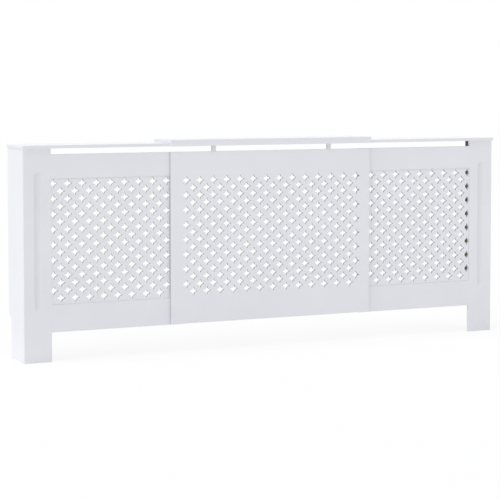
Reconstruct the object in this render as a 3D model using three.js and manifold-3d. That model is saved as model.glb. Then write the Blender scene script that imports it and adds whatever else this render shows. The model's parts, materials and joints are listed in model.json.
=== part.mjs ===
// Extending radiator cover in painted board, 2.03 m wide as drawn, 815 mm high and about 0.2 m deep.
// A pierced centre panel hangs in front of two end sections, which slide in behind it to shorten the cover.
// Millimetres. +X runs along the front to the right, +Y towards the wall, +Z up.
// The origin is on the floor, in the middle of the width and of the depth.

import * as THREE from 'three';
import { mergeGeometries, mergeVertices } from 'three/addons/utils/BufferGeometryUtils.js';
import Module from 'manifold-3d';

const wasm = await Module();
wasm.setup();

// ---------------------------------------------------------------- driving dimensions

// Whole cover, with both end sections pulled out.
const overallHeight = 815; // floor to the centre shelf
const frontWidth = 2028; // outer face of one end panel to the outer face of the other
const wallDepth = 182; // front face of the end sections to the wall
const centreOffset = -2.5; // middle of the centre section, which hangs a little left of the cover's middle

// Boards.
const boardThickness = 12; // frames, end panels and shelves
const piercedThickness = 10; // lattice panels, centre panel, and the small pieces cut from the same board
const slideGap = 0.5; // running gap between boards that slide past each other

// End sections.
const postWidth = 107;
const railUnderside = 110; // floor to the lower edge of the bottom rail
const bottomRailHeight = 102.5;
const topRailHeight = 90.5;
const warmAirSlotHeight = 22; // open gap under the shelf
const innerStileWidth = 39; // hidden behind the centre panel
const overlapBehindCentre = 47; // mean length of end section behind the centre panel, pulled right out
const shelfFrontOverhang = 8;
const shelfEndOverhang = 3;

// Flute down the face of each post.
const fluteLength = 515;
const fluteWidth = 26;
const fluteDepth = 4;
const fluteBottom = 189.5; // above the floor

// Notch at the back of each end panel, which clears a skirting board.
const skirtingNotchDepth = 30;
const skirtingNotchHeight = 145;
const skirtingNotchRise = 23; // how far the slanted top of the notch climbs towards the wall

// Pierced star pattern, shared by all three sections.
const starPitch = 56.6; // from one star to the next in the same row or column
const starTipRadius = 16.8;
const starWaistRadius = 8.5;
const firstRowInset = 18; // top edge of the window down to the first row of stars
const firstColumnInset = 9.6; // outer edge of the window to the first column, so its tips are cut off
const starEdgeMargin = 3.5; // least wood between a star and the edge of its panel
const latticeRecess = 2; // lattice face behind the frame's face
const latticeGap = 0.3; // round the lattice panel, in its window

// Centre section.
const centreWidth = 862;
const centrePanelRaise = 2.5; // its lower edge is this far above the end sections' rails
const centreSolidBorder = 46; // unpierced board at each end of the centre panel
const centreStarShift = 2.5; // middle column of stars, right of the middle of the panel
const centreShelfEndOverhang = 2.5;
const centreShelfBackGap = 35.5; // shelf's rear edge to the wall
const spacerWidth = 16;
const spacerSetForward = 4; // in front of the panel's face, so that it meets the lip
const leftSpacerDistance = 252.5; // its middle, from the middle of the panel
const rightSpacerDistance = 246;

// Keepers behind the centre panel, which hold the end sections' boards against it.
const keeperLength = 760;
const keeperHeight = 35;
const keeperThickness = 12;
const keeperBlockLength = 100;
const keeperScrewSpread = 60; // between the two screws of a keeper
const lowerKeeperRaise = 20; // above the rails' lower edge
const upperKeeperDrop = 18.5; // below the rails' upper edge

// Battens inside each end section.
const battenSize = 20;
const cornerBattenFloorGap = 15;
const shelfBattenLength = 90;
const shelfBattenCornerGap = 3; // behind the corner batten
const frontScrewHeights = [0.22, 0.74]; // up the corner batten, as shares of its length
const endScrewHeights = [0.12, 0.86];
const shelfBattenScrewPlaces = [0.25, 0.75]; // along the shelf batten, from its front

// Angle bracket that ties each end panel to the wall.
const bracketLeg = 25;
const bracketHeight = 20;
const bracketSteel = 2;
const bracketDrop = 60; // its upper edge, below the shelf
const bracketHoleRadius = 2.5;
const bracketHoleInset = 11; // from the tip of each leg

// Clips that hold each lattice panel in its window.
const clipWidth = 14;
const clipOnFrame = 20;
const clipOnLattice = 14;
const clipThickness = 3;

// Screws, all with the same round head.
const screwRadius = 1.75;
const screwHeadRadius = 3.5;
const screwHeadTopRadius = 2.8;
const screwHeadHeight = 2.2;
const screwHoleClearance = 0.3;
const screwCover = 3; // board left in front of a screw's tip
const screwSides = 6;

const cutterClear = 1; // how far a cutter sticks out of the face that it starts from
const fluteFacets = 36; // round the whole cutter
const fluteEndFacets = 9;

// ---------------------------------------------------------------- sizes that follow

const halfWidth = frontWidth / 2;
const centreShelfUnderside = overallHeight - boardThickness;
const endShelfTop = centreShelfUnderside - slideGap;
const endShelfUnderside = endShelfTop - boardThickness;
const railTop = endShelfUnderside - warmAirSlotHeight;
const windowBottom = railUnderside + bottomRailHeight;
const windowTop = railTop - topRailHeight;
const postInnerEdge = halfWidth - postWidth;
const centreHalfWidth = centreWidth / 2;
const sectionInnerEnd = centreHalfWidth - overlapBehindCentre;
const windowInnerEdge = sectionInnerEnd + innerStileWidth;
const centrePanelBack = -slideGap;
const centrePanelFront = centrePanelBack - piercedThickness;
const lipBack = -shelfFrontOverhang - slideGap;
const lipFront = lipBack - piercedThickness;
const spacerTop = endShelfUnderside - slideGap;
const centreShelfBack = wallDepth - centreShelfBackGap;
const middleOfDepth = (wallDepth + lipFront) / 2;
const halfPitch = starPitch / 2;
const firstRow = windowTop - firstRowInset;
const keeperFront = boardThickness + slideGap;
const keeperBack = keeperFront + keeperThickness;
const lowerKeeperBottom = railUnderside + lowerKeeperRaise;
const upperKeeperBottom = railTop - upperKeeperDrop - keeperHeight;
const innerFaceOfEnd = halfWidth - boardThickness;
const screwHoleRadius = screwRadius + screwHoleClearance;

// ---------------------------------------------------------------- finishes

const finishes = {
  whiteLacquer: { color: 0xf0f1f4, roughness: 0.42, metalness: 0 },
  rawBoard: { color: 0x8a6a4a, roughness: 0.85, metalness: 0 },
  zincSteel: { color: 0xb4b6ba, roughness: 0.35, metalness: 0.9 },
};

function piece(name, geometry, finish) {
  const mesh = new THREE.Mesh(geometry, new THREE.MeshStandardMaterial(finishes[finish]));
  mesh.name = name;
  return mesh;
}

// ---------------------------------------------------------------- shapes

// A box between two opposite corners.
function boxBetween(low, high) {
  const size = high.map((value, axis) => value - low[axis]);
  const geometry = new THREE.BoxGeometry(...size);
  return geometry.translate(...low.map((value, axis) => value + size[axis] / 2));
}

// The same box with its X range given in either order, so that it can be mirrored.
function boxAcross(x0, x1, lowYZ, highYZ) {
  return boxBetween([Math.min(x0, x1), ...lowYZ], [Math.max(x0, x1), ...highYZ]);
}

function shapeFrom(points) {
  return new THREE.Shape(points.map(([x, y]) => new THREE.Vector2(x, y)));
}

// A flat board parallel to the front, from an outline in X and Z.
function frontBoard(outline, frontY, thickness) {
  const geometry = new THREE.ExtrudeGeometry(shapeFrom(outline), { depth: thickness, bevelEnabled: false });
  return geometry.rotateX(Math.PI / 2).translate(0, frontY + thickness, 0);
}

// A flat board parallel to the end faces, from an outline in Y and Z.
function endBoard(outline, lowX, thickness) {
  const geometry = new THREE.ExtrudeGeometry(shapeFrom(outline), { depth: thickness, bevelEnabled: false });
  return geometry.rotateX(Math.PI / 2).rotateZ(Math.PI / 2).translate(lowX, 0, 0);
}

// ---------------------------------------------------------------- cutting

function solidFrom(geometry) {
  const bare = geometry.clone();
  bare.deleteAttribute('normal');
  bare.deleteAttribute('uv');
  const merged = mergeVertices(bare, 1e-4);
  const mesh = new wasm.Mesh({
    numProp: 3,
    vertProperties: new Float32Array(merged.attributes.position.array),
    triVerts: new Uint32Array(withoutFlatTriangles(Array.from(merged.index.array))),
  });
  return new wasm.Manifold(mesh);
}

// Drops the triangles that shrink to a line at the poles of a round shape.
function withoutFlatTriangles(corners) {
  return corners.filter((_, place) => {
    const first = place - (place % 3);
    return new Set(corners.slice(first, first + 3)).size === 3;
  });
}

function geometryFrom(solid) {
  const mesh = solid.getMesh();
  const geometry = new THREE.BufferGeometry();
  geometry.setAttribute('position', new THREE.BufferAttribute(new Float32Array(mesh.vertProperties), 3));
  geometry.setIndex(new THREE.BufferAttribute(new Uint32Array(mesh.triVerts), 1));
  return geometry;
}

// The body without every cutter. The cutters of one group don't touch each other.
function cut(body, ...cutterGroups) {
  const left = cutterGroups.reduce(
    (solid, cutters) => (cutters.length ? solid.subtract(solidFrom(mergeGeometries(cutters))) : solid),
    solidFrom(body),
  );
  return geometryFrom(left);
}

// ---------------------------------------------------------------- stars

// Outline of one four-pointed star: tips up, down and sideways, waists on the diagonals.
function starOutline(x, z) {
  return Array.from({ length: 8 }, (_, corner) => {
    const radius = corner % 2 ? starWaistRadius : starTipRadius;
    const angle = corner * Math.PI / 4;
    return [x + radius * Math.cos(angle), z + radius * Math.sin(angle)];
  });
}

// Middles of the stars in one column. Lowered columns start half a pitch down.
function columnOfStars(x, lowered) {
  const top = firstRow - (lowered ? halfPitch : 0);
  const lowest = windowBottom + starEdgeMargin + starTipRadius;
  const count = Math.floor((top - lowest) / starPitch) + 1;
  return Array.from({ length: count }, (_, row) => [x, top - row * starPitch]);
}

// Prisms that pierce a board from frontY to backY at every star.
function starCutters(stars, frontY, backY) {
  const depth = backY - frontY + 2 * cutterClear;
  return stars.map(([x, z]) => frontBoard(starOutline(x, z), frontY - cutterClear, depth));
}

// Stars of an end section, column by column from its post towards the middle.
function endSectionColumns(side) {
  const length = postInnerEdge - windowInnerEdge;
  const count = Math.floor((length - firstColumnInset - starTipRadius - starEdgeMargin) / halfPitch) + 1;
  return Array.from({ length: count }, (_, column) => ({
    x: side * (postInnerEdge - firstColumnInset - column * halfPitch),
    lowered: column % 2 === 1,
  }));
}

// Stars of the centre panel, column by column from the left.
function centreColumns() {
  const each = Math.floor((centreHalfWidth - centreSolidBorder - starTipRadius) / halfPitch);
  return Array.from({ length: 2 * each + 1 }, (_, column) => ({
    x: centreStarShift + (column - each) * halfPitch,
    lowered: column % 2 === 1,
  }));
}

// ---------------------------------------------------------------- screws

// A screw whose head sits on a face at "seat" and whose shank runs along "direction" from there.
function screw(name, seat, direction, length) {
  const profile = [
    [0, -length],
    [screwRadius, -length],
    [screwRadius, 0],
    [screwHeadRadius, 0],
    [screwHeadTopRadius, screwHeadHeight],
    [0, screwHeadHeight],
  ].map(([radius, height]) => new THREE.Vector2(radius, height));
  const geometry = new THREE.LatheGeometry(profile, screwSides);
  turnFromDown(geometry, direction);
  return piece(name, geometry.translate(...seat), 'zincSteel');
}

// A hole for that screw, open at the seat and running past the tip by the clearance.
function screwHole(seat, direction, length) {
  const whole = length + screwHoleClearance + cutterClear;
  const geometry = new THREE.CylinderGeometry(screwHoleRadius, screwHoleRadius, whole, screwSides);
  geometry.translate(0, cutterClear - whole / 2, 0);
  turnFromDown(geometry, direction);
  return geometry.translate(...seat);
}

// Turns a shape that points down its own -Y axis to point along a unit direction.
function turnFromDown(geometry, direction) {
  const turn = new THREE.Quaternion().setFromUnitVectors(
    new THREE.Vector3(0, -1, 0),
    new THREE.Vector3(...direction),
  );
  geometry.applyQuaternion(turn);
}

// ---------------------------------------------------------------- an end section

// Left section for side -1, right section for side +1.
function endSection(label, side) {
  const group = new THREE.Group();
  const post = side * halfWidth;
  const postInner = side * postInnerEdge;
  const inner = side * sectionInnerEnd;
  const windowInner = side * windowInnerEdge;
  const insideFace = side * innerFaceOfEnd;
  const battenFace = side * (innerFaceOfEnd - battenSize);
  const outwards = [side, 0, 0];
  const forwards = [0, -1, 0];
  const upwards = [0, 0, 1];

  // Screws through the corner batten, two into the post and two into the end panel.
  const cornerBattenMiddle = side * (innerFaceOfEnd - battenSize / 2);
  const cornerScrewLength = battenSize + boardThickness - screwCover;
  const cornerBattenHeight = endShelfUnderside - cornerBattenFloorGap;
  const frontScrewSeats = frontScrewHeights.map((share) => [
    cornerBattenMiddle,
    boardThickness + battenSize,
    cornerBattenFloorGap + share * cornerBattenHeight,
  ]);
  const endScrewSeats = endScrewHeights.map((share) => [
    battenFace,
    boardThickness + battenSize / 2,
    cornerBattenFloorGap + share * cornerBattenHeight,
  ]);

  // Screws through the shelf batten, one into the shelf and one into the end panel.
  const shelfBattenFront = boardThickness + battenSize + shelfBattenCornerGap;
  const shelfBattenBack = shelfBattenFront + shelfBattenLength;
  const shelfScrewSeat = [
    cornerBattenMiddle,
    shelfBattenFront + shelfBattenLength * shelfBattenScrewPlaces[0],
    endShelfUnderside - battenSize,
  ];
  const shelfBattenScrewSeat = [
    battenFace,
    shelfBattenFront + shelfBattenLength * shelfBattenScrewPlaces[1],
    endShelfUnderside - battenSize / 2,
  ];

  // Screw through the bracket into the end panel.
  const bracketTop = endShelfUnderside - bracketDrop;
  const bracketMiddle = bracketTop - bracketHeight / 2;
  const bracketScrewLength = bracketSteel + boardThickness - screwCover;
  const bracketScrewSeat = [
    side * (innerFaceOfEnd - bracketSteel),
    wallDepth - bracketLeg + bracketHoleInset,
    bracketMiddle,
  ];

  // Clips over the joint between frame and lattice, in line with columns that have room for them.
  const columns = endSectionColumns(side);
  const clipScrewLength = clipThickness + boardThickness - screwCover;
  const evenColumns = columns.filter((column) => !column.lowered);
  const oddColumns = columns.filter((column) => column.lowered);
  const clips = [
    { name: 'top_outer', x: oddColumns[1].x, edge: windowTop, up: 1 },
    { name: 'top_inner', x: oddColumns[oddColumns.length - 2].x, edge: windowTop, up: 1 },
    { name: 'bottom_outer', x: evenColumns[2].x, edge: windowBottom, up: -1 },
    { name: 'bottom_inner', x: evenColumns[evenColumns.length - 2].x, edge: windowBottom, up: -1 },
  ].map((clip) => ({
    ...clip,
    seat: [clip.x, boardThickness + clipThickness, clip.edge + clip.up * clipOnFrame / 2],
  }));

  // Front frame: post, rails and hidden stile cut from one board.
  const frameOutline = [
    [post, 0],
    [postInner, 0],
    [postInner, railUnderside],
    [inner, railUnderside],
    [inner, railTop],
    [postInner, railTop],
    [postInner, endShelfUnderside],
    [post, endShelfUnderside],
  ];
  const window = boxAcross(
    postInner,
    windowInner,
    [-cutterClear, windowBottom],
    [boardThickness + cutterClear, windowTop],
  );
  const frame = cut(
    frontBoard(frameOutline, 0, boardThickness),
    [window],
    [fluteCutter(side)],
    [
      ...frontScrewSeats.map((seat) => screwHole(seat, forwards, cornerScrewLength)),
      ...clips.map((clip) => screwHole(clip.seat, forwards, clipScrewLength)),
    ],
  );
  group.add(piece(`${label}_front_frame`, frame, 'whiteLacquer'));

  // Lattice panel, flush with the frame at the back and a little behind its face in front.
  const latticeBoard = boxAcross(
    postInner - side * latticeGap,
    windowInner + side * latticeGap,
    [latticeRecess, windowBottom + latticeGap],
    [latticeRecess + piercedThickness, windowTop - latticeGap],
  );
  const stars = columns.flatMap((column) => columnOfStars(column.x, column.lowered));
  const lattice = cut(latticeBoard, starCutters(stars, latticeRecess, latticeRecess + piercedThickness));
  group.add(piece(`${label}_lattice_panel`, lattice, 'whiteLacquer'));

  // End panel, with a notch for the skirting board.
  const notchFront = wallDepth - skirtingNotchDepth;
  const endOutline = [
    [boardThickness, 0],
    [notchFront, 0],
    [notchFront, skirtingNotchHeight],
    [wallDepth, skirtingNotchHeight + skirtingNotchRise],
    [wallDepth, endShelfUnderside],
    [boardThickness, endShelfUnderside],
  ];
  const endPanel = cut(
    endBoard(endOutline, Math.min(post, insideFace), boardThickness),
    [
      ...endScrewSeats.map((seat) => screwHole(seat, outwards, cornerScrewLength)),
      screwHole(shelfBattenScrewSeat, outwards, cornerScrewLength),
      screwHole(bracketScrewSeat, outwards, bracketScrewLength),
    ],
  );
  group.add(piece(`${label}_end_panel`, endPanel, 'whiteLacquer'));

  // Shelf.
  const shelf = cut(
    boxAcross(
      side * (halfWidth + shelfEndOverhang),
      inner,
      [-shelfFrontOverhang, endShelfUnderside],
      [wallDepth, endShelfTop],
    ),
    [screwHole(shelfScrewSeat, upwards, cornerScrewLength)],
  );
  group.add(piece(`${label}_shelf`, shelf, 'whiteLacquer'));

  // Battens.
  const cornerBatten = cut(
    boxAcross(
      insideFace,
      battenFace,
      [boardThickness, cornerBattenFloorGap],
      [boardThickness + battenSize, endShelfUnderside],
    ),
    [
      ...frontScrewSeats.map((seat) => screwHole(seat, forwards, cornerScrewLength)),
      ...endScrewSeats.map((seat) => screwHole(seat, outwards, cornerScrewLength)),
    ],
  );
  group.add(piece(`${label}_corner_batten`, cornerBatten, 'rawBoard'));
  const shelfBatten = cut(
    boxAcross(
      insideFace,
      battenFace,
      [shelfBattenFront, endShelfUnderside - battenSize],
      [shelfBattenBack, endShelfUnderside],
    ),
    [
      screwHole(shelfScrewSeat, upwards, cornerScrewLength),
      screwHole(shelfBattenScrewSeat, outwards, cornerScrewLength),
    ],
  );
  group.add(piece(`${label}_shelf_batten`, shelfBatten, 'rawBoard'));

  // Wall bracket: one leg on the end panel, the other on the wall.
  const bracketBottom = bracketTop - bracketHeight;
  const bracketBlock = boxAcross(
    insideFace,
    insideFace - side * bracketLeg,
    [wallDepth - bracketLeg, bracketBottom],
    [wallDepth, bracketTop],
  );
  const bracketHollow = boxAcross(
    insideFace - side * bracketSteel,
    insideFace - side * (bracketLeg + cutterClear),
    [wallDepth - bracketLeg - cutterClear, bracketBottom - cutterClear],
    [wallDepth - bracketSteel, bracketTop + cutterClear],
  );
  const wallHole = new THREE.CylinderGeometry(bracketHoleRadius, bracketHoleRadius, bracketLeg, screwSides);
  wallHole.translate(insideFace - side * (bracketLeg - bracketHoleInset), wallDepth, bracketMiddle);
  const bracket = cut(
    bracketBlock,
    [bracketHollow],
    [screwHole(bracketScrewSeat, outwards, bracketScrewLength), wallHole],
  );
  group.add(piece(`${label}_wall_bracket`, bracket, 'zincSteel'));

  // Lattice clips.
  clips.forEach((clip) => {
    const ends = [clip.edge - clip.up * clipOnLattice, clip.edge + clip.up * clipOnFrame];
    const plate = boxBetween(
      [clip.x - clipWidth / 2, boardThickness, Math.min(...ends)],
      [clip.x + clipWidth / 2, boardThickness + clipThickness, Math.max(...ends)],
    );
    const pierced = cut(plate, [screwHole(clip.seat, forwards, clipScrewLength)]);
    group.add(piece(`${label}_lattice_clip_${clip.name}`, pierced, 'rawBoard'));
  });

  // Screws.
  const screws = [
    ['corner_screw_front_lower', frontScrewSeats[0], forwards, cornerScrewLength],
    ['corner_screw_front_upper', frontScrewSeats[1], forwards, cornerScrewLength],
    ['corner_screw_end_lower', endScrewSeats[0], outwards, cornerScrewLength],
    ['corner_screw_end_upper', endScrewSeats[1], outwards, cornerScrewLength],
    ['shelf_screw', shelfScrewSeat, upwards, cornerScrewLength],
    ['shelf_batten_screw', shelfBattenScrewSeat, outwards, cornerScrewLength],
    ['bracket_screw', bracketScrewSeat, outwards, bracketScrewLength],
    ...clips.map((clip) => [`clip_screw_${clip.name}`, clip.seat, forwards, clipScrewLength]),
  ];
  screws.forEach(([name, ...rest]) => group.add(screw(`${label}_${name}`, ...rest)));
  return group;
}

// A rod with round ends that scoops the flute out of a post, shallow because it lies in front of the face.
function fluteCutter(side) {
  const rodRadius = (fluteWidth * fluteWidth / 4 + fluteDepth * fluteDepth) / (2 * fluteDepth);
  const geometry = new THREE.CapsuleGeometry(rodRadius, fluteLength - fluteWidth, fluteEndFacets, fluteFacets);
  return geometry
    .rotateX(Math.PI / 2)
    .translate(side * (halfWidth - postWidth / 2), fluteDepth - rodRadius, fluteBottom + fluteLength / 2);
}

// ---------------------------------------------------------------- the centre section

function centreSection() {
  const group = new THREE.Group();
  const panelBottom = railUnderside + centrePanelRaise;
  const forwards = [0, -1, 0];

  // Two screws through each keeper and its block into the panel.
  const keeperScrewLength = keeperBack - centrePanelFront - screwCover;
  const keepers = [
    { name: 'upper', bottom: upperKeeperBottom },
    { name: 'lower', bottom: lowerKeeperBottom },
  ].map((keeper) => ({
    ...keeper,
    seats: [-1, 1].map((side) => [
      side * keeperScrewSpread / 2,
      keeperBack,
      keeper.bottom + keeperHeight / 2,
    ]),
  }));
  const holesThrough = (keeper) => keeper.seats.map((seat) => screwHole(seat, forwards, keeperScrewLength));

  // Pierced panel.
  const board = boxBetween(
    [-centreHalfWidth, centrePanelFront, panelBottom],
    [centreHalfWidth, centrePanelBack, railTop],
  );
  const stars = centreColumns().flatMap((column) => columnOfStars(column.x, column.lowered));
  const panel = cut(board, starCutters(stars, centrePanelFront, centrePanelBack), keepers.flatMap(holesThrough));
  group.add(piece('centre_panel', panel, 'whiteLacquer'));

  // Shelf, and the lip under its front edge that covers the end shelves' edges.
  const shelfHalf = centreHalfWidth + centreShelfEndOverhang;
  group.add(piece('centre_shelf', boxBetween(
    [-shelfHalf, lipFront, centreShelfUnderside],
    [shelfHalf, centreShelfBack, overallHeight],
  ), 'whiteLacquer'));
  group.add(piece('centre_shelf_lip', boxBetween(
    [-shelfHalf, lipFront, spacerTop],
    [shelfHalf, lipBack, centreShelfUnderside],
  ), 'whiteLacquer'));

  // Spacers that hang the panel from the lip.
  const spacerFront = centrePanelFront - spacerSetForward;
  [['left', -leftSpacerDistance], ['right', rightSpacerDistance]].forEach(([name, middle]) => {
    group.add(piece(`centre_spacer_${name}`, boxBetween(
      [middle - spacerWidth / 2, spacerFront, railTop],
      [middle + spacerWidth / 2, spacerFront + piercedThickness, spacerTop],
    ), 'whiteLacquer'));
  });

  // Keepers, each on a block as thick as the channel that the end sections slide in.
  keepers.forEach((keeper) => {
    const top = keeper.bottom + keeperHeight;
    const block = boxBetween(
      [-keeperBlockLength / 2, centrePanelBack, keeper.bottom],
      [keeperBlockLength / 2, keeperFront, top],
    );
    group.add(piece(`${keeper.name}_keeper_block`, cut(block, holesThrough(keeper)), 'rawBoard'));
    const strip = boxBetween(
      [-keeperLength / 2, keeperFront, keeper.bottom],
      [keeperLength / 2, keeperBack, top],
    );
    group.add(piece(`${keeper.name}_keeper`, cut(strip, holesThrough(keeper)), 'rawBoard'));
    keeper.seats.forEach((seat, index) => {
      const end = ['left', 'right'][index];
      group.add(screw(`${keeper.name}_keeper_screw_${end}`, seat, forwards, keeperScrewLength));
    });
  });
  group.position.x = centreOffset;
  return group;
}

// ---------------------------------------------------------------- assembly

const cover = new THREE.Group();
cover.add(centreSection());
cover.add(endSection('left', -1));
cover.add(endSection('right', 1));
cover.position.y = -middleOfDepth;

export default cover;
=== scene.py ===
# %% [markdown]
# # An extending radiator cover
# The real object is a cabinet without a back, cut from fibreboard and sprayed white. A pierced panel with
# its own shelf hangs in front of two end sections, which slide in behind it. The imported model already
# fixes where every board is. This lesson gives the boards the things that a plain solid lacks: softened
# edges, a smooth round-ended flute, raw brown backs, real screw heads, and finishes that answer to light.

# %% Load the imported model
import json

import bmesh
import bpy
import numpy as np
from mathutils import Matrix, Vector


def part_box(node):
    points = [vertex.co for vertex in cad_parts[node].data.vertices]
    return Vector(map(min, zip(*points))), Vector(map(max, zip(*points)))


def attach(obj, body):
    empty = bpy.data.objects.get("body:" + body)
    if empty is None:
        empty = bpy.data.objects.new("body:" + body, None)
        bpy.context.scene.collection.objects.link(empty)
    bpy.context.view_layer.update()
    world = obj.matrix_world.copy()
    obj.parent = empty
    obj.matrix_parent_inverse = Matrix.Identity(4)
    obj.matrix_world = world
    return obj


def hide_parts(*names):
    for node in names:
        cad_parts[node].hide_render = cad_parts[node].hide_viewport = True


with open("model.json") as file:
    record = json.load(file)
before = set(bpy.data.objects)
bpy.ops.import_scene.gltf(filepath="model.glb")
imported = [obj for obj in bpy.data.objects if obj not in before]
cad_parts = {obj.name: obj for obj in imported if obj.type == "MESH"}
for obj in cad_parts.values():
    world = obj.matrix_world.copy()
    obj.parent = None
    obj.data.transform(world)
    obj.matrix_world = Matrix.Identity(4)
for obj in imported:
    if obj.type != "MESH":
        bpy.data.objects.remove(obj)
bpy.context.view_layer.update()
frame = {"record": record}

# %% [markdown]
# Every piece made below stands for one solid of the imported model. So the solid's own box says where the
# piece begins and ends, and the record says which body it moves with and which finish it has. Looking
# these up keeps the two models together if a board changes later.

# %% Look up what the record says
MM = 0.001
bodies = frame["record"]["behaviour"]["bodies"]
body_of_node = {node: body for body, nodes in bodies.items() for node in nodes}
slot_of_node = {part["node"]: part["material_slot"] for part in frame["record"]["subparts"]}


def reach(node):
    """Lowest and highest corner of a solid, as two arrays in metres."""
    low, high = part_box(node)
    return np.array(low), np.array(high)


# %% [markdown]
# ## Finishes
# A finish is a small network of nodes. Noise in Object coordinates has a real size in metres, so it stays
# the same on a long shelf and on a small spacer, and it needs no unwrapping. A few helpers keep the
# networks short: one adds noise at a given grain size, two turn noise into a colour or a number, and one
# turns it into a bump.

# %% Helpers for finishes
def new_finish(name, roughness, metallic=0.0):
    """An empty material with its shader and the surface position that its patterns read."""
    material = bpy.data.materials.new(name)
    material.use_nodes = True
    tree = material.node_tree
    shader = tree.nodes["Principled BSDF"]
    shader.inputs["Roughness"].default_value = roughness
    shader.inputs["Metallic"].default_value = metallic
    place = tree.nodes.new("ShaderNodeTexCoord").outputs["Object"]
    return material, tree, shader, place


def grain(tree, place, size, detail=2.0):
    """Noise whose blotches are about one size across, in metres."""
    noise = tree.nodes.new("ShaderNodeTexNoise")
    noise.inputs["Scale"].default_value = 1 / size
    noise.inputs["Detail"].default_value = detail
    tree.links.new(place, noise.inputs["Vector"])
    return noise.outputs["Fac"]


def blend_between(tree, factor, low, high, start=0.35, end=0.65):
    """Noise values from start to end become a blend from the low colour to the high one."""
    ramp = tree.nodes.new("ShaderNodeValToRGB")
    ramp.color_ramp.elements[0].position = start
    ramp.color_ramp.elements[1].position = end
    ramp.color_ramp.elements[0].color = (*low, 1)
    ramp.color_ramp.elements[1].color = (*high, 1)
    tree.links.new(factor, ramp.inputs["Fac"])
    return ramp.outputs["Color"]


def level_between(tree, factor, low, high):
    """The same for a plain number, such as a roughness, over the whole range of the noise."""
    spread = tree.nodes.new("ShaderNodeMapRange")
    spread.inputs["To Min"].default_value = low
    spread.inputs["To Max"].default_value = high
    tree.links.new(factor, spread.inputs["Value"])
    return spread.outputs["Result"]


def raise_by(tree, shader, factor, height):
    """Tilts the surface as if the noise stood up from it by a height in metres."""
    bump = tree.nodes.new("ShaderNodeBump")
    bump.inputs["Distance"].default_value = height
    tree.links.new(factor, bump.inputs["Height"])
    tree.links.new(bump.outputs["Normal"], shader.inputs["Normal"])


print("finish helpers ready")

# %% [markdown]
# Sprayed lacquer is a cool satin white. It isn't quite even: the spray leaves a fine ripple of a few
# millimetres, and the sheen wanders slightly over a board. The cut edges of fibreboard soak lacquer up,
# so they end a little duller and rougher than the faces. The flutes, the spacers under the centre shelf
# and the walls of the small holes get darker whites as painted shade, for the shade that falls in the
# groove, under the shelf and inside the holes, where it is deepest. One white for all would make them as
# bright as the faces, so five close finishes give the differences, all from one function.

# %% White lacquer, from the faces to the walls of the holes
lacquer_white = np.array([0.846, 0.853, 0.892])
cloud_size = 220 * MM
cloud_shades = (0.985, 1.01)
sheen_patch = 60 * MM
sheen_wander = (-0.05, 0.06)
ripple_size = 3 * MM


def lacquer(name, shade, roughness, ripple):
    """Cool white with a faint cloud in its colour, a wandering sheen and a spray ripple of some height."""
    material, tree, shader, place = new_finish(name, roughness)
    low, high = (lacquer_white * shade * step for step in cloud_shades)
    colour = blend_between(tree, grain(tree, place, cloud_size, detail=3.0), low, high)
    low, high = (roughness + step for step in sheen_wander)
    sheen = level_between(tree, grain(tree, place, sheen_patch), low, high)
    tree.links.new(colour, shader.inputs["Base Color"])
    tree.links.new(sheen, shader.inputs["Roughness"])
    raise_by(tree, shader, grain(tree, place, ripple_size, detail=1.0), ripple)
    return material


lacquer_face = lacquer("white_lacquer_face", shade=1.0, roughness=0.42, ripple=0.02 * MM)
lacquer_edge = lacquer("white_lacquer_edge", shade=0.985, roughness=0.55, ripple=0.04 * MM)
# Flute: a darker white, painted shade for the shade that falls in the groove.
lacquer_flute_shade = lacquer("white_lacquer_flute", shade=0.945, roughness=0.6, ripple=0.05 * MM)
# Spacers: a darker white, painted shade for the shade under the centre shelf.
lacquer_spacer_shade = lacquer("white_lacquer_thin", shade=0.88, roughness=0.65, ripple=0.06 * MM)
# Hole walls: the darkest white, painted shade for the shade inside the small holes.
lacquer_hole_shade = lacquer("white_lacquer_hole", shade=0.74, roughness=0.7, ripple=0.08 * MM)
print([finish.name for finish in (lacquer_face, lacquer_edge, lacquer_flute_shade, lacquer_spacer_shade, lacquer_hole_shade)])

# %% [markdown]
# Where no lacquer reaches, the board is bare: compressed fibres of a greyish brown, matt, with short
# lighter and darker flecks. Its colour is darker than bare board's as painted shade, for the dim inside
# of the cabinet. Three sizes of noise are enough: clouds over the board, flecks of a few millimetres and
# fine fibres. A picture of real board would have to be laid out anew on every piece, and noise needs
# nothing. The clips are cut from a redder hardboard.

# %% Raw fibreboard
board_cloud = 50 * MM
fibre_size = 1.2 * MM
fibre_height = 0.12 * MM
dark_fleck, light_fleck = (0.62,) * 3, (1.12,) * 3
board_roughness = 0.9
board_gloss = 0.2


def raw_fibreboard(name, dark, light, fleck_size):
    """Brown board: broad clouds, multiplied by the flecks laid over them, and a fuzzy surface."""
    material, tree, shader, place = new_finish(name, board_roughness)
    clouds = blend_between(tree, grain(tree, place, board_cloud, detail=3.0), dark, light)
    specks = grain(tree, place, fleck_size, detail=4.0)
    flecks = blend_between(tree, specks, dark_fleck, light_fleck, start=0.3, end=0.62)
    mix = tree.nodes.new("ShaderNodeMix")
    mix.data_type = "RGBA"
    mix.blend_type = "MULTIPLY"
    mix.inputs["Factor"].default_value = 1.0
    tree.links.new(clouds, mix.inputs["A"])
    tree.links.new(flecks, mix.inputs["B"])
    tree.links.new(mix.outputs["Result"], shader.inputs["Base Color"])
    raise_by(tree, shader, grain(tree, place, fibre_size, detail=4.0), fibre_height)
    shader.inputs["Specular IOR Level"].default_value = board_gloss
    return material


# The raw board's colours are darker than bare fibreboard's, as painted shade for the cabinet's dim inside.
raw_board = raw_fibreboard("raw_fibreboard", (0.138, 0.113, 0.088), (0.190, 0.157, 0.123), 3.5 * MM)
hardboard = raw_fibreboard("brown_hardboard", (0.175, 0.108, 0.062), (0.235, 0.150, 0.088), 2 * MM)
print(raw_board.name, hardboard.name)

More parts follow.
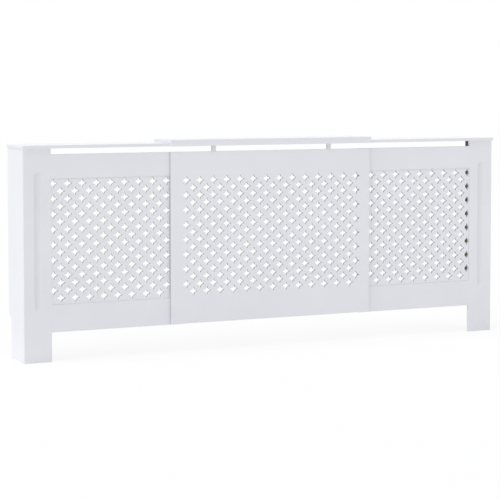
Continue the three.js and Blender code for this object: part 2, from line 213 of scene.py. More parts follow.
# %% [markdown]
# Screws and brackets are steel with a thin coat of zinc: bright, slightly blue, with a crystalline bloom
# that makes some patches duller than others. One noise drives both the tint and the roughness, because on
# the real coat the duller patches are the paler ones too.

# %% Zinc-plated steel
bloom_size = 4 * MM
zinc_dark, zinc_light = (0.56, 0.575, 0.60), (0.72, 0.73, 0.745)
zinc_roughness = 0.35
zinc_wander = (0.26, 0.46)
scratch_size = 1.5 * MM
scratch_height = 0.01 * MM


def zinc(name):
    """Metal with small patches of differing sheen and a faint tint."""
    material, tree, shader, place = new_finish(name, zinc_roughness, metallic=1.0)
    bloom = grain(tree, place, bloom_size, detail=4.0)
    tree.links.new(blend_between(tree, bloom, zinc_dark, zinc_light), shader.inputs["Base Color"])
    tree.links.new(level_between(tree, bloom, *zinc_wander), shader.inputs["Roughness"])
    raise_by(tree, shader, grain(tree, place, scratch_size), scratch_height)
    return material


zinc_steel = zinc("zinc_plated_steel")
print(zinc_steel.name)

# %% [markdown]
# ## From a flat sheet to a board
# Every board here is a flat sheet of faces that has been given a thickness. Modelling the sheet alone is
# easier, because it is a drawing in two directions. The steps are: gather the drawn polygons into one
# sheet with shared corners, place it on both sides of the board, and close the rim with walls.

# %% Gather polygons into a sheet
SHOW, RIM, BACK, FLUTE = range(4)
TO_MICROMETRE = 6  # decimals of a metre
TO_TENTH_OF_MICROMETRE = 7


def sheet_from(polygons, decimals=TO_MICROMETRE):
    """Points and faces of a sheet: corners that round to the same place become one shared point."""
    corners = np.concatenate([np.asarray(polygon, float) for polygon in polygons])
    points, index = np.unique(np.round(corners, decimals), axis=0, return_inverse=True)
    ends = np.cumsum([len(polygon) for polygon in polygons])[:-1]
    faces = [face[face != np.roll(face, 1)] for face in np.split(index.ravel(), ends)]
    return points, [face for face in faces if len(face) > 2]


def thicken(faces, front, back):
    """A closed surface around a sheet whose corners are known on both of its sides, with each face's kind.

    The faces are used once in front and once at the back with their corners reversed. An edge that runs
    one way but never the other way belongs to the rim, and gets a four-sided wall from front to back.
    """
    count = len(front)
    starts = np.concatenate(faces)
    ends = np.concatenate([np.roll(face, -1) for face in faces])
    rim = ~np.isin(starts * count + ends, ends * count + starts)
    a, b = starts[rim], ends[rim]
    walls = np.stack([b, a, a + count, b + count], axis=1)
    closed = [*faces, *walls, *[face[::-1] + count for face in faces]]
    kinds = np.repeat([SHOW, RIM, BACK], [len(faces), len(walls), len(faces)])
    return np.concatenate([front, back]), closed, kinds


print("sheet helpers ready")

# %% [markdown]
# A mesh gets its corners, its faces and one finish for each kind of face: the show face, the cut edge and
# the back, and on the front frames the flute. A Bevel modifier then softens the sharp edges, as sanding
# does on the real board before it is sprayed. Its angle limit leaves the shallow rim of the flute alone.

# %% Put a surface into a mesh
sharp_turn = np.radians(40)


def add_piece(node, points, faces, kinds, finishes, soften=0.0, rounds=2, smooth=None):
    """A finished object that stands for a solid and moves with its body. Each kind of face has its finish."""
    name = "finished_" + node
    mesh = bpy.data.meshes.new(name)
    mesh.from_pydata(points.tolist(), [], [face.tolist() for face in faces])
    mesh.polygons.foreach_set("material_index", np.asarray(kinds, np.int32))
    shading = np.zeros(len(faces), bool) if smooth is None else smooth
    mesh.polygons.foreach_set("use_smooth", shading)
    for finish in finishes:
        mesh.materials.append(finish)
    mesh.update()
    piece = bpy.data.objects.new(name, mesh)
    bpy.context.scene.collection.objects.link(piece)
    if soften:
        bevel = piece.modifiers.new("softened_edges", "BEVEL")
        bevel.width = soften
        bevel.segments = rounds
        bevel.limit_method = "ANGLE"
        bevel.angle_limit = sharp_turn
        bevel.use_clamp_overlap = False
    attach(piece, body_of_node[node])
    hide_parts(node)
    return piece


print("mesh helper ready")

# %% [markdown]
# A sheet is drawn in the two directions of its board and then placed in space. For a board that faces the
# front these are X and Z, for an end panel Y and Z, and for a shelf X and Y. Whether the drawing has to
# be turned over depends on which way the show face looks.

# %% Place a sheet across an axis
PLANES = {"x": (1, 2, 0), "y": (0, 2, 1), "z": (0, 1, 2)}  # the drawing's two directions, then the axis
SHOW_SIDE = {"x": 1, "y": -1, "z": 1}  # the way an anticlockwise drawing looks


def place_sheet(points, axis, level):
    """Corners of a drawing at one level along the axis that it stands across."""
    across, up, along = PLANES[axis]
    placed = np.empty((len(points), 3))
    placed[:, across], placed[:, up], placed[:, along] = points[:, 0], points[:, 1], level
    return placed


def board(node, polygons, axis, show_at, back_at, finishes, soften, rounds=2):
    """A flat board from a drawing whose corners run anticlockwise, between its show face and its back."""
    points, faces = sheet_from(polygons)
    if (show_at - back_at) * SHOW_SIDE[axis] < 0:
        faces = [face[::-1] for face in faces]
    closed = thicken(faces, place_sheet(points, axis, show_at), place_sheet(points, axis, back_at))
    return add_piece(node, *closed, finishes, soften, rounds)


def rectangle(low, high):
    """Four corners, anticlockwise."""
    return np.array([low, (high[0], low[1]), high, (low[0], high[1])], float)


print("board helper ready")

# %% [markdown]
# ## The star pattern
# Every hole is a four-pointed star, and the stars stand in rows and columns with one more star in the
# middle of each square. The plane can be tiled with one diamond-shaped cell around each star. A cell has
# only eight faces, from the eight corners of its star out to the rim of its diamond. Cutting the holes
# with a boolean would also work, but it would leave long thin triangles that catch the light.

# %% Cells around the stars
star_pitch = 56.6 * MM
star_tip = 16.8 * MM
star_waist = 8.5 * MM
half_pitch = star_pitch / 2


def star_cells(centres):
    """Eight faces for each star, between two closed outlines around its middle.

    Corner k of either outline stands at k eighths of a turn. On the inner outline its distance from the
    middle is the tip's or the waist's in turn. On the outer one it is half a pitch, or that over the root
    of two.
    """
    corner = np.arange(8)
    spoke = np.stack([np.cos(corner * np.pi / 4), np.sin(corner * np.pi / 4)], axis=1)
    inner_reach = np.where(corner % 2, star_waist, star_tip)[:, None]
    outer_reach = np.where(corner % 2, half_pitch / np.sqrt(2), half_pitch)[:, None]
    inner = centres[:, None] + spoke * inner_reach
    outer = centres[:, None] + spoke * outer_reach
    ring = [inner, outer, np.roll(outer, -1, axis=1), np.roll(inner, -1, axis=1)]
    return np.stack(ring, axis=2).reshape(-1, 4, 2)


def star_centres(first, columns, rows):
    """Middles of the stars, from the top star of the first column.

    Column by column they move right by half a pitch, and row by row they move down by a whole one. Every
    second column stands half a pitch lower.
    """
    column, row = np.meshgrid(np.arange(columns), np.arange(rows), indexing="ij")
    x = first[0] + column * half_pitch
    z = first[1] - row * star_pitch - (column % 2) * half_pitch
    return np.stack([x.ravel(), z.ravel()], axis=1)


print(star_cells(star_centres((0, 0), 2, 2)).shape[0], "faces for four stars")

# %% [markdown]
# The cells end in a zigzag. Four plain polygons join that zigzag to the straight edges of the board. Each
# side of the zigzag is a triangle wave, so its corners come from one short formula.

# %% Join the cells to the edges of the board
def wave(steps):
    """A triangle wave: 0 at step 0, 1 at step 2, 0 again at step 4, and so on."""
    return 1 - np.abs((steps / 2) % 2 - 1)


def border(first, columns, rows, low, high):
    """Four polygons between the zigzag around the cells and a rectangle from low to high, anticlockwise.

    The zigzag is followed in half cells. Its height over the top row is half a pitch times a triangle wave,
    and the other sides are alike. At the foot it first drops by one more cell, because the lowered columns
    end there.
    """
    across = np.arange(2 * columns + 3)
    down = np.arange(4 * rows - 3)
    left = first[0] - half_pitch
    right = left + (columns + 1) * half_pitch
    foot = first[1] - (rows - 1) * star_pitch
    x = left + across * half_pitch / 2
    drop = np.minimum(np.minimum(across, across[::-1]) / 2, 1 + wave(across - 2))
    top_side = np.stack([x, first[1] + half_pitch * wave(across)], axis=1)
    foot_side = np.stack([x, foot - half_pitch * drop], axis=1)
    z = foot + down * half_pitch / 2
    left_side = np.stack([left + half_pitch * wave(down), z], axis=1)
    right_side = np.stack([right - half_pitch * wave(down), z], axis=1)
    foot_left, foot_right, top_right, top_left = rectangle(low, high)
    return [
        np.vstack([top_right, top_left, top_side]),
        np.vstack([top_left, foot_left, left_side]),
        np.vstack([foot_left, foot_right, foot_side[::-1]]),
        np.vstack([foot_right, top_right, right_side[::-1]]),
    ]


def pierced_drawing(first, columns, rows, low, high):
    """All faces of a pierced board, as a list of polygons."""
    cells = star_cells(star_centres(first, columns, rows))
    return [*cells, *border(first, columns, rows, low, high)]


print("border helper ready")

# %% [markdown]
# ## Centre panel
# The panel that hangs in front has 27 columns of stars inside a plain border. Its front and its edges are
# lacquered, its back is bare. The tiled drawing gives all 216 holes at once, and the walls of the holes
# come with the thickness. Only a very fine bevel is left around the holes, because the photo shows their
# edges crisp.

# %% Centre panel
# The rims of a pierced board, its hole walls and outer edges alike, take the darkest white as painted shade.
pierced = [lacquer_face, lacquer_hole_shade, raw_board]
rows = 8
centre_columns = 27
first_row = 660 * MM
arris = 0.8 * MM
hole_arris = 0.3 * MM

low, high = reach("centre_panel")
first = (-(centre_columns - 1) / 2 * half_pitch, first_row)
drawing = pierced_drawing(first, centre_columns, rows, low[[0, 2]], high[[0, 2]])
centre_panel = board("centre_panel", drawing, "y", low[1], high[1], pierced, hole_arris, rounds=1)
print("centre panel", len(centre_panel.data.polygons), "faces,", centre_columns * rows, "stars")

# %% [markdown]
# ## Lattice panels
# In the end sections the same pattern is cut from a larger sheet, so the outermost stars run off the edge
# of the panel, and so do the rims of the cells. The drawing is therefore made too large and then trimmed
# along all four edges. Blender's bisect does this cleanly. The right panel is the left one mirrored: X
# changes sign and the corners run the other way.

# %% Trim a drawing to a rectangle
on_the_cut = 1e-7  # metres, within which a corner counts as lying on the trimming line


def trim_drawing(polygons, low, high):
    """The part of a drawing inside an upright rectangle, as polygons again."""
    points, faces = sheet_from(polygons)
    mesh = bpy.data.meshes.new("drawing")
    mesh.from_pydata(place_sheet(points, "y", 0).tolist(), [], [face.tolist() for face in faces])
    work = bmesh.new()
    work.from_mesh(mesh)
    bpy.data.meshes.remove(mesh)
    edges = [(low, (-1, 0, 0)), (low, (0, 0, -1)), (high, (1, 0, 0)), (high, (0, 0, 1))]
    for corner, outwards in edges:
        everything = [*work.verts, *work.edges, *work.faces]
        place = (corner[0], 0, corner[1])
        bmesh.ops.bisect_plane(
            work, geom=everything, dist=on_the_cut, plane_co=place, plane_no=outwards, clear_outer=True
        )
    kept = [np.array([(corner.co.x, corner.co.z) for corner in face.verts]) for face in work.faces]
    work.free()
    return kept


print("trim helper ready")

# %% Lattice panels
lattice_columns = 17
first_column = 897.4 * MM
spare = 40 * MM

low, high = reach("left_lattice_panel")
low, high = low[[0, 2]], high[[0, 2]]
drawing = pierced_drawing((-first_column, first_row), lattice_columns, rows, low - spare, high + spare)
left_drawing = trim_drawing(drawing, low, high)
right_drawing = [polygon[::-1] * (-1, 1) for polygon in left_drawing]
for node, polygons in (("left_lattice_panel", left_drawing), ("right_lattice_panel", right_drawing)):
    low, high = reach(node)
    panel = board(node, polygons, "y", low[1], high[1], pierced, hole_arris, rounds=1)
    print(node, len(panel.data.polygons), "faces")

# %% [markdown]
# ## Front frames
# Post, rails and the hidden stile of each end section are one board, with a flute down the post. A flute
# is made by a round-nosed cutter, so it is a channel of circular section with ends like a quarter of a
# ball. Its depth depends only on how far a point is from the flute's middle line. That makes it a surface
# of two parameters: the distance out from the line, and the place around it.

# %% Rings of the flute
flute_width = 26 * MM
flute_depth = 4 * MM
flute_length = 515 * MM
flute_foot = 189.5 * MM
# The flute's faces take a darker white, painted shade for the shade in the groove.
lacquered = [lacquer_face, lacquer_edge, raw_board, lacquer_flute_shade]


def flute_rings(middle, rings=10, arc=16):
    """Outlines of the flute from its rim in to its middle line, with the depth of each.

    An outline is two half circles of one radius around the two ends of the middle line. The cutter is a
    circle through the rim and the floor, and a ring's depth is how far that circle lies below the face
    there.
    """
    cutter = (flute_width**2 / 4 + flute_depth**2) / (2 * flute_depth)
    radii = flute_width / 2 * np.cos(np.linspace(0, np.pi / 2, rings + 1))
    depths = np.sqrt(cutter**2 - radii**2) - (cutter - flute_depth)
    turn = np.linspace(0, np.pi, arc + 1)
    upper = np.stack([np.cos(turn), np.sin(turn)], axis=1)
    top = np.array([middle, flute_foot + flute_length - flute_width / 2])
    foot = np.array([middle, flute_foot + flute_width / 2])
    shift = np.repeat([top, foot], arc + 1, axis=0)
    spokes = np.concatenate([upper, -upper])
    return shift + radii[:, None, None] * spokes, depths


rings, depths = flute_rings(0.0)
print(rings.shape, "ring points, deepest", round(depths.max() / MM, 2), "mm")

# %% [markdown]
# The flat part of the frame is three polygons: the post on either side of the flute's middle, and one
# C-shaped polygon for rails and stile. Between neighbouring rings of the flute lie four-sided faces. At
# the back all depths are nought, so the same sheet closes the board there.

# %% Drawing of a front frame
rail_underside = 110 * MM
window_gap = 0.3 * MM


def frame_drawing(label):
    """Polygons of the frame as if it stood on the left, and its flute's rings with their depths.

    The window is the lattice panel's outline and a small gap. The rail ends level with the centre panel.
    """
    low, high = (np.abs(corner) for corner in reach(f"{label}_front_frame"))
    outer, inner = -max(low[0], high[0]), -min(low[0], high[0])
    lattice_low, lattice_high = (np.abs(corner) for corner in reach(f"{label}_lattice_panel"))
    post = -(max(lattice_low[0], lattice_high[0]) + window_gap)
    stile = -(min(lattice_low[0], lattice_high[0]) - window_gap)
    sill, head = lattice_low[2] - window_gap, lattice_high[2] + window_gap
    rail_top = reach("centre_panel")[1][2]
    top = reach(f"{label}_front_frame")[1][2]
    middle = (outer + post) / 2
    rings, depths = flute_rings(middle)
    half = rings.shape[1] // 2
    turned = np.roll(rings[0], -(half // 2), axis=0)
    left_rim, right_rim = turned[: half + 1], np.vstack([turned[half:], turned[:1]])
    peak, root = (middle, top), (middle, 0)
    outer_half = np.vstack([peak, (outer, top), (outer, 0), root, left_rim[::-1]])
    inner_side = [(post, z) for z in (0, rail_underside, sill, head, rail_top, top)]
    inner_half = np.vstack([root, inner_side, peak, right_rim[::-1]])
    rails = [
        (post, rail_underside), (inner, rail_underside), (inner, rail_top), (post, rail_top),
        (post, head), (stile, head), (stile, sill), (post, sill),
    ]
    return [outer_half, inner_half, np.array(rails)], rings, depths


print(sum(len(polygon) for polygon in frame_drawing("left")[0]), "corners around the flat part of a frame")


# %% Front frames
def front_frame(label, side):
    """Flat polygons and flute rings gathered in one sheet, whose show side sinks by the flute's depth."""
    flat, rings, depths = frame_drawing(label)
    turned = np.roll(rings, -1, axis=1)
    hollow = np.stack([rings[:-1], rings[1:], turned[1:], turned[:-1]], axis=2).reshape(-1, 4, 2)
    points, faces = sheet_from([*flat, *hollow[:, ::-1]])
    depth_of_spot = np.repeat(depths, rings.shape[1])
    spots = np.round(rings.reshape(-1, 2), TO_MICROMETRE)
    apart = np.abs(points[:, None] - spots[None]).sum(axis=2)
    on_ring = apart.min(axis=1) < 10.0**-TO_MICROMETRE
    sunk = np.where(on_ring, depth_of_spot[apart.argmin(axis=1)], 0)
    if side > 0:
        points, faces = points * (-1, 1), [face[::-1] for face in faces]
    low, high = reach(f"{label}_front_frame")
    front = place_sheet(points, "y", low[1] + sunk)
    closed, closed_faces, kinds = thicken(faces, front, place_sheet(points, "y", high[1]))
    smooth = np.zeros(len(closed_faces), bool)
    smooth[len(flat):len(faces)] = True
    kinds[smooth] = FLUTE
    return add_piece(f"{label}_front_frame", closed, closed_faces, kinds, lacquered, arris, smooth=smooth)


for label, side in (("left", -1), ("right", 1)):
    piece = front_frame(label, side)
    print(piece.name, len(piece.data.polygons), "faces")

# %% [markdown]
# ## Plain boards
# Shelves, lip, spacers and end panels are plain boards with a softened arris. Shelves are lacquered all
# over. A shelf is rounded most along its top, where hands touch it. The photo has no line between the
# centre shelf and its lip, because their joint was filled before spraying, so those two are almost sharp
# where they meet. One bevel can't have two widths, but it can be told by a weight on each edge how much
# of its width to use.

# %% Shelves, lip and spacers
all_white = [lacquer_face, lacquer_edge, lacquer_face]
spacer_shade_white = [lacquer_spacer_shade] * 3
shelf_arris = 1.2 * MM
filled_joint = 0.25 * MM
end_shelf_share = 0.5
level_with_top = 0.1 * MM


def soften_top_more(piece, share):
    """Weights for the bevel: one for edges along the top of the piece, and a share for all others."""
    mesh = piece.data
    corners = np.empty(len(mesh.vertices) * 3)
    mesh.vertices.foreach_get("co", corners)
    height = corners[2::3]
    ends = np.empty(len(mesh.edges) * 2, np.int32)
    mesh.edges.foreach_get("vertices", ends)
    at_top = (height[ends] > height.max() - level_with_top).reshape(-1, 2).all(axis=1)
    weights = mesh.attributes.new("bevel_weight_edge", "FLOAT", "EDGE")
    weights.data.foreach_set("value", np.where(at_top, 1.0, share))
    piece.modifiers["softened_edges"].limit_method = "WEIGHT"


shelves = [("centre_shelf", filled_joint / shelf_arris)]
shelves += [(f"{label}_shelf", end_shelf_share) for label in ("left", "right")]
for node, share in shelves:
    low, high = reach(node)
    outline = rectangle(low[:2], high[:2])
    shelf = board(node, [outline], "z", high[2], low[2], all_white, shelf_arris, rounds=4)
    soften_top_more(shelf, share)
strips = [("centre_shelf_lip", all_white, filled_joint)]
# The spacers take a darker white as painted shade, for the shade under the centre shelf.
strips += [(f"centre_spacer_{label}", spacer_shade_white, arris / 2) for label in ("left", "right")]
for node, finishes, rounding in strips:
    low, high = reach(node)
    board(node, [rectangle(low[[0, 2]], high[[0, 2]])], "y", low[1], high[1], finishes, rounding)
print(len(shelves), "shelves,", len(strips), "strips under the centre shelf")

# %% [markdown]
# An end panel has a notch at its foot, so that the cover can stand against a wall that has a skirting
# board. Its outline is drawn corner by corner in Y and Z. Its inner face is bare: in the photo it shows
# dark at the right end of the warm-air slot, where the bare board's darkened colour is painted shade.

# %% End panels
notch_depth = 30 * MM
notch_height = 145 * MM
notch_rise = 23 * MM
for label in ("left", "right"):
    node = f"{label}_end_panel"
    low, high = reach(node)
    outline = np.array([
        (low[1], 0), (high[1] - notch_depth, 0), (high[1] - notch_depth, notch_height),
        (high[1], notch_height + notch_rise), (high[1], high[2]), (low[1], high[2]),
    ])
    show_at, back_at = (low[0], high[0]) if label == "left" else (high[0], low[0])
    board(node, [outline], "x", show_at, back_at, lacquered, arris / 2)
print("end panels made")

# %% [markdown]
# ## Battens, keepers and clips
# The parts that hold the cover together are cut from bare board and stay out of sight. A cube would do
# for each batten, but the board helper gives it its place and softened edges in one go. The clips are
# thin hardboard with rounded corners, turned over the joint between frame and lattice, so their drawing
# gets a quarter circle at each corner first.

# %% Battens, keepers and blocks
bare = [raw_board] * 3
for node, slot in slot_of_node.items():
    if slot == "raw_board" and "clip" not in node:
        low, high = reach(node)
        board(node, [rectangle(low[[0, 2]], high[[0, 2]])], "y", high[1], low[1], bare, arris / 2)
print("battens and keepers made")

# %% Clips
clip_corner = 2.5 * MM
clip_arris = 0.3 * MM


def rounded_rectangle(low, high, radius, arc=5):
    """A quarter circle at each corner, with its middle one radius in from both edges."""
    turn = np.linspace(0, np.pi / 2, arc + 1)
    quarters = (np.arange(4)[:, None] * np.pi / 2 + turn).ravel()
    signs = np.repeat([(1, 1), (-1, 1), (-1, -1), (1, -1)], arc + 1, axis=0)
    centre, half = np.add(low, high) / 2, np.subtract(high, low) / 2
    arcs = radius * np.stack([np.cos(quarters), np.sin(quarters)], axis=1)
    return centre + signs * (half - radius) + arcs


for node in slot_of_node:
    if "lattice_clip" in node:
        low, high = reach(node)
        outline = rounded_rectangle(low[[0, 2]], high[[0, 2]], clip_corner)
        board(node, [outline], "y", high[1], low[1], [hardboard] * 3, clip_arris, rounds=1)
print("clips made")

# %% [markdown]
# ## Screws
# A screw is a surface of revolution with a cross pressed into its head. The revolution alone is a profile
# turned around an axis. The cross is then taken out of the head's height, as a smooth dip that is deepest
# on two crossed lines and fades towards the rim of the head.

# %% One screw
head_radius = 3.5 * MM
head_height = 2.2 * MM
head_shares = np.array([0, 0.12, 0.24, 0.36, 0.48, 0.6, 0.75, 0.88, 0.96, 1.0])  # of the head's radius
head_fall = 0.75  # share of its height that the head loses from its middle to its rim
shank_radius = 1.7 * MM
point_length = 1.5 * MM
point_radius = 0.4 * shank_radius
cross_depth = 1.2 * MM
cross_arm = 0.45 * MM  # half of an arm's width
cross_reach = 0.72  # share of the head's radius where the cross ends
cross_fade = 0.2


def screw_surface(length, around=32):
    """Points (ring, place around, 3) of a screw that hangs down the Z axis from its seat at height nought.

    Over the head the height is that of a flat dome, less a dip of fixed depth times two smooth factors: one
    falls off to either side of the nearer arm of the cross, the other towards the head's rim.
    """
    turn = np.arange(around) * 2 * np.pi / around
    share = head_shares[:, None]
    dome = head_height * (1 - head_fall * share**4)
    off_arm = share * head_radius * np.minimum(np.abs(np.sin(turn)), np.abs(np.cos(turn)))
    dip = np.exp(-((off_arm / cross_arm) ** 2)) * np.clip((cross_reach - share) / cross_fade, 0, 1)
    below = np.array([0, 0, point_length - length, -length, -length])
    height = np.concatenate([dome - cross_depth * dip, np.repeat(below[:, None], around, axis=1)])
    shank = [head_radius, shank_radius, shank_radius, point_radius, 0]
    radius = np.concatenate([head_shares * head_radius, shank])[:, None]
    return np.stack([radius * np.cos(turn), radius * np.sin(turn), height], axis=2)


def ring_faces(rings, around):
    """Four-sided faces between neighbouring rings of points, closing on themselves around."""
    start = np.arange(rings - 1)[:, None] * around + np.arange(around)
    after = np.arange(rings - 1)[:, None] * around + (np.arange(around) + 1) % around
    return np.stack([start, start + around, after + around, after], axis=2).reshape(-1, 4)


print(screw_surface(30 * MM).shape, "points in a screw")

# %% [markdown]
# The solid's box gives each screw's place and length. Which way it points follows from its job: those
# through clips and keepers and the front ones point forwards, those into the end panels point outwards,
# and the one under each shelf points up.

# %% All screws
def screw_direction(node):
    """Unit vector from the head towards the tip."""
    if "shelf_screw" in node:
        return np.array([0, 0, 1.0])
    if "_end_" in node or "batten" in node or "bracket" in node:
        return np.array([-1.0 if node.startswith("left") else 1.0, 0, 0])
    return np.array([0, -1.0, 0])


def add_screw(node):
    """The hanging screw, turned so that its downward axis lies along its direction and moved to its seat.

    Both ends of the surface are rings that have shrunk to a point. Gathering the faces merges such a ring
    and leaves three-sided faces around it.
    """
    low, high = reach(node)
    direction = screw_direction(node)
    along = np.abs(direction).argmax()
    length = (high - low)[along] - head_height
    seat = (low + high) / 2
    seat[along] = (low[along] if direction[along] > 0 else high[along]) + direction[along] * head_height
    sideways = np.roll(direction, 1)
    basis = np.stack([sideways, np.cross(-direction, sideways), -direction])
    surface = screw_surface(length)
    points = seat + surface.reshape(-1, 3) @ basis
    points, faces = sheet_from(points[ring_faces(*surface.shape[:2])], TO_TENTH_OF_MICROMETRE)
    kinds = np.zeros(len(faces))
    return add_piece(node, points, faces, kinds, [zinc_steel], smooth=np.ones(len(faces), bool))


screws = [add_screw(node) for node in slot_of_node if "_screw" in node]
print(len(screws), "screws,", len(screws[0].data.polygons), "faces each")

# %% [markdown]
# ## Wall brackets
# A bracket is a strip of steel with rounded ends and two holes, bent to a right angle. It is drawn flat,
# as a strip along s and across t, and then folded: s runs along the leg on the end panel, around a small
# bend and along the leg on the wall, and the thickness is measured square to that path.

# %% Draw the flat strip
steel = 2 * MM
bend = 1.0 * MM
leg_hole = 2.5 * MM
hole_from_tip = 11 * MM
leg_corner = 3 * MM
bracket_arris = 0.25 * MM


def half_plate(start, end, hole, half_width, side, arc=12, corner_arc=4):
    """One side of a plate that has a rounded end at the start, split along its middle through the hole."""
    inward = np.sign(end - start)
    turn = np.linspace(0, np.pi, arc + 1)
    rim = np.stack([hole - leg_hole * np.cos(turn), side * leg_hole * np.sin(turn)], axis=1)
    turn = np.linspace(0, np.pi / 2, corner_arc + 1)
    tip = np.stack([
        start + inward * leg_corner * (1 - np.sin(turn)),
        side * (half_width - leg_corner * (1 - np.cos(turn))),
    ], axis=1)
    far_end = [(end, 0), (end, side * half_width)]
    outline = np.vstack([far_end, tip, [(start, 0)], rim if inward > 0 else rim[::-1]])
    return outline if side * inward > 0 else outline[::-1]


def bent_strip(leg, width, folds=6):
    """Polygons of the flat strip, and the lengths of a leg and of the bend along the steel's middle."""
    turned = np.pi / 2 * (bend + steel / 2)
    flat = leg - steel - bend
    far = 2 * flat + turned
    steps = flat + np.linspace(0, turned, folds + 1)
    half = width / 2
    polygons = [half_plate(0, flat, hole_from_tip, half, side) for side in (1, -1)]
    polygons += [half_plate(far, far - flat, far - hole_from_tip, half, side) for side in (1, -1)]
    for near, next_step in zip(steps[:-1], steps[1:]):
        polygons += [rectangle((near, 0), (next_step, half)), rectangle((near, -half), (next_step, 0))]
    return polygons, flat, turned


print(len(bent_strip(30 * MM, 16 * MM)[0]), "polygons in a strip")


# %% Fold it and put it in place
def fold(s, flat, turned):
    """Path of the strip's middle, inwards and towards the wall, and the direction square to it.

    The angle turned at s is nought on the first leg, a quarter turn on the second, and even in between. On
    the bend the path is an arc of that angle, and the square direction always points into the bend.
    """
    angle = np.clip((s - flat) / turned, 0, 1) * np.pi / 2
    radius = bend + steel / 2
    before, beyond = np.minimum(s, flat), np.maximum(s - flat - turned, 0)
    inwards = radius * (1 - np.cos(angle)) + beyond
    wallwards = before - flat + radius * np.sin(angle)
    return np.stack([inwards, wallwards], axis=1), np.stack([np.cos(angle), -np.sin(angle)], axis=1)


for label, side in (("left", -1), ("right", 1)):
    node = f"{label}_wall_bracket"
    low, high = reach(node)
    polygons, flat, turned = bent_strip(high[1] - low[1], high[2] - low[2])
    points, faces = sheet_from(polygons)
    path, square = fold(points[:, 0], flat, turned)
    panel_face = (low if side < 0 else high)[0]
    z = (low[2] + high[2]) / 2 - side * points[:, 1]
    surfaces = []
    for offset in (steel / 2, -steel / 2):
        inwards, wallwards = (path + offset * square).T
        x = panel_face - side * (steel / 2 + inwards)
        y = high[1] - steel - bend + wallwards
        surfaces.append(np.stack([x, y, z], axis=1))
    closed, closed_faces, kinds = thicken(faces, *surfaces)
    add_piece(node, closed, closed_faces, np.zeros(len(kinds)), [zinc_steel], bracket_arris)
print("brackets made")

# %% [markdown]
# ## Floor, light and camera
# The photo is a studio shot on pure white. The floor and the world look white to the camera and in the
# shine of the screws, while the object is lit at an ordinary level. Most of the light comes from all
# around. One large soft lamp high on the left makes the shelves brightest, the left end next, and leaves
# the front a shade darker, as in the photo. A share of the floor's own lit colour stays, so that the
# cover keeps its shadow.

# %% Rays that show the background
def background_ray(tree):
    """1 for a ray from the camera, off a mirror-like surface or through glass, 0 for a ray of light."""
    seen = tree.nodes.new("ShaderNodeLightPath")
    ray = seen.outputs["Is Camera Ray"]
    for kind in ("Is Glossy Ray", "Is Transmission Ray"):
        either = tree.nodes.new("ShaderNodeMath")
        either.operation = "MAXIMUM"
        tree.links.new(ray, either.inputs[0])
        tree.links.new(seen.outputs[kind], either.inputs[1])
        ray = either.outputs["Value"]
    return ray


print("background helper ready")

# %% Floor
floor_reach = 30
floor_cloud = 0.8
floor_roughness = 0.9
floor_dark, floor_light = (0.90, 0.90, 0.91), (0.92, 0.92, 0.93)
kept_shadow = 0.12


def white_floor(name):
    """Pale and matt. Where it is seen, straight or mirrored, most of its lit colour gives way to white."""
    material, tree, shader, place = new_finish(name, floor_roughness)
    colour = blend_between(tree, grain(tree, place, floor_cloud), floor_dark, floor_light)
    white = tree.nodes.new("ShaderNodeEmission")
    share = tree.nodes.new("ShaderNodeMath")
    share.operation = "MULTIPLY"
    share.inputs[1].default_value = 1 - kept_shadow
    mix = tree.nodes.new("ShaderNodeMixShader")
    tree.links.new(colour, shader.inputs["Base Color"])
    tree.links.new(background_ray(tree), share.inputs[0])
    tree.links.new(share.outputs["Value"], mix.inputs["Fac"])
    tree.links.new(shader.outputs["BSDF"], mix.inputs[1])
    tree.links.new(white.outputs["Emission"], mix.inputs[2])
    tree.links.new(mix.outputs["Shader"], tree.nodes["Material Output"].inputs["Surface"])
    return material


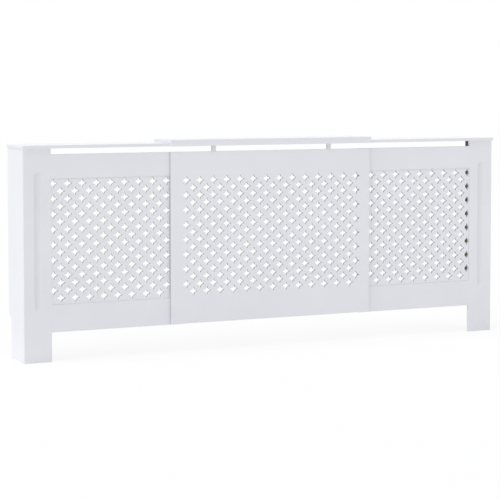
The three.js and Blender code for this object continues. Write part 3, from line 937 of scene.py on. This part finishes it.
floor_mesh = bpy.data.meshes.new("floor")
floor_corners = rectangle((-floor_reach, -floor_reach), (floor_reach, floor_reach))
floor_mesh.from_pydata(place_sheet(floor_corners, "z", 0).tolist(), [], [(0, 1, 2, 3)])
floor_mesh.materials.append(white_floor("studio_floor"))
floor = bpy.data.objects.new("floor", floor_mesh)
bpy.context.scene.collection.objects.link(floor)
print("floor laid")

# %% World and lamp
surround_strength = 0.65
background_strength = 1.0
lamp_strength = 1.5
lamp_spread = np.radians(50)
lamp_lean = (np.radians(2), np.radians(-28), 0)

world = bpy.data.worlds.new("studio")
bpy.context.scene.world = world
world.use_nodes = True
tree = world.node_tree
surround = tree.nodes["Background"]
white = tree.nodes.new("ShaderNodeBackground")
for light, strength in ((surround, surround_strength), (white, background_strength)):
    light.inputs["Color"].default_value = (1, 1, 1, 1)
    light.inputs["Strength"].default_value = strength
mix = tree.nodes.new("ShaderNodeMixShader")
tree.links.new(background_ray(tree), mix.inputs["Fac"])
tree.links.new(surround.outputs["Background"], mix.inputs[1])
tree.links.new(white.outputs["Background"], mix.inputs[2])
tree.links.new(mix.outputs["Shader"], tree.nodes["World Output"].inputs["Surface"])

lamp = bpy.data.lights.new("soft_lamp", "SUN")
lamp.energy = lamp_strength
lamp.angle = lamp_spread
lamp_object = bpy.data.objects.new("soft_lamp", lamp)
lamp_object.rotation_euler = lamp_lean
bpy.context.scene.collection.objects.link(lamp_object)
print("surround at", surround_strength, "and lamp at", lamp_strength)

# %% [markdown]
# In the photo the posts stand parallel, so its camera looked level and its frame was shifted down. Here
# the camera looks down by a few degrees instead of taking the whole shift, because the other views keep
# the shift and would lose part of the object. Place, turn and lens come from fitting 480 stars and the
# main edges.

# %% Camera
camera_place = (-3.0367, -6.20955, 1.0491)
lens_length = 126.531
sensor_width = 36
frame_shift = -0.1294
looks_down = 3.5  # degrees
looks_right = 25.6364

camera = bpy.data.cameras.new("camera")
camera.lens = lens_length
camera.sensor_width = sensor_width
camera.shift_y = frame_shift
camera_object = bpy.data.objects.new("camera", camera)
camera_object.location = camera_place
camera_object.rotation_euler = (np.radians(90 - looks_down), 0, np.radians(-looks_right))
bpy.context.scene.collection.objects.link(camera_object)
bpy.context.scene.camera = camera_object
bpy.context.scene.view_settings.view_transform = "Standard"
print("camera at", [round(value, 3) for value in camera_object.location])
